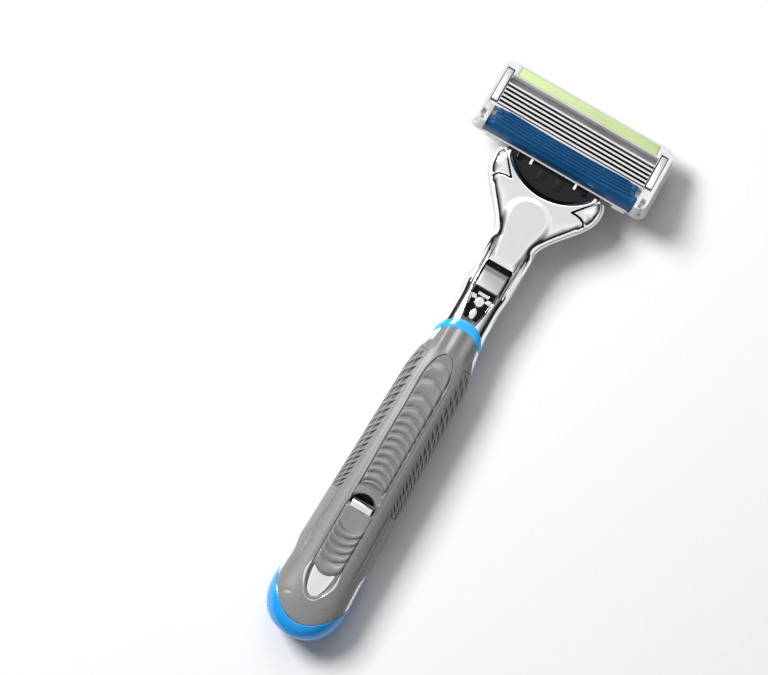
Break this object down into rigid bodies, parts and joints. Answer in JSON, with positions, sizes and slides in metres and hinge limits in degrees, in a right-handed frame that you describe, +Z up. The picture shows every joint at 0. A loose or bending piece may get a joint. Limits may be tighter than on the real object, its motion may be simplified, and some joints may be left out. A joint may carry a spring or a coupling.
{
  "type": "cartridge razor",
  "caption": "Wet-shaving razor: grey rubber grip, chrome neck with a sliding release button, and a pivoting replaceable blade cartridge with a rubber guard and a lubricating strip.",
  "frame": {"origin": "on the surface the razor lies on, under the middle of its length and width", "axes": "X along the blades, +Y from the butt to the head along the handle, +Z up from the back to the shaving side"},
  "size_m": [0.0428, 0.1295, 0.0137],
  "materials": {
    "white_plastic": "glossy white moulded plastic",
    "clip_metal": "bright soft metal strip",
    "guard_rubber": "satin blue rubber",
    "strip": "matte pale yellow-green gel strip",
    "black_plastic": "satin black plastic",
    "plunger_plastic": "satin acetal",
    "spring_steel": "bright drawn wire",
    "satin_grey": "satin light grey plastic",
    "chrome": "mirror chrome plating",
    "bright_shell": "satin chrome plating",
    "blue_plastic": "glossy sky blue plastic",
    "core_metal": "cast metal",
    "grip_rubber": "matte grey moulded rubber",
    "pad_rubber": "matte grey moulded rubber",
    "blade_steel": "ground stainless steel"
  },
  "bodies": {
    "handle": {"yoke": "chrome", "yoke_back_cover": "bright_shell", "collar_ring": "blue_plastic", "handle_core": "core_metal", "back_shell": "bright_shell", "grip_front": "grip_rubber", "grip_side_left": "grip_rubber", "grip_side_right": "grip_rubber", "thumb_pad": "pad_rubber", "palm_pad": "pad_rubber", "teardrop_inlay": "chrome", "butt_cap": "blue_plastic", "plunger_spring": "spring_steel", "ejector_spring": "spring_steel"},
    "ejector": {"ejector": "black_plastic", "release_button": "satin_grey"},
    "connector": {"connector": "black_plastic"},
    "cartridge": {"cartridge_frame": "white_plastic", "blade_1": "blade_steel", "blade_2": "blade_steel", "blade_3": "blade_steel", "blade_4": "blade_steel", "blade_5": "blade_steel", "blade_6": "blade_steel", "clip_left": "clip_metal", "clip_right": "clip_metal", "guard": "guard_rubber", "lubricating_strip": "strip"},
    "plunger": {"plunger": "plunger_plastic"}
  },
  "joints": [
    {"name": "release_slide", "type": "slide", "parent": "handle", "child": "ejector", "axis": [0, 1, 0], "range_m": [0, 0.0011], "stiffness_N_per_m": 1500, "springref_m": -0.0005, "deforming": ["ejector_spring"]},
    {"name": "cartridge_pull_off", "type": "slide", "parent": "ejector", "child": "connector", "axis": [0, 1, 0], "range_m": [0, 0.016]},
    {"name": "cartridge_pivot", "type": "hinge", "parent": "connector", "child": "cartridge", "pos_m": [0, 0.05124, 0.0096], "axis": [-1, 0, 0], "range_deg": [0, 40]},
    {"name": "plunger_slide", "type": "slide", "parent": "handle", "child": "plunger", "axis": [0, -1, 0], "range_m": [0, 0.00274], "stiffness_N_per_m": 300, "springref_m": -0.002, "deforming": ["plunger_spring"]}
  ],
  "couplings": [
    {"joint": "cartridge_pivot", "follows": "plunger_slide", "rad_per_m": 255.15}
  ]
}
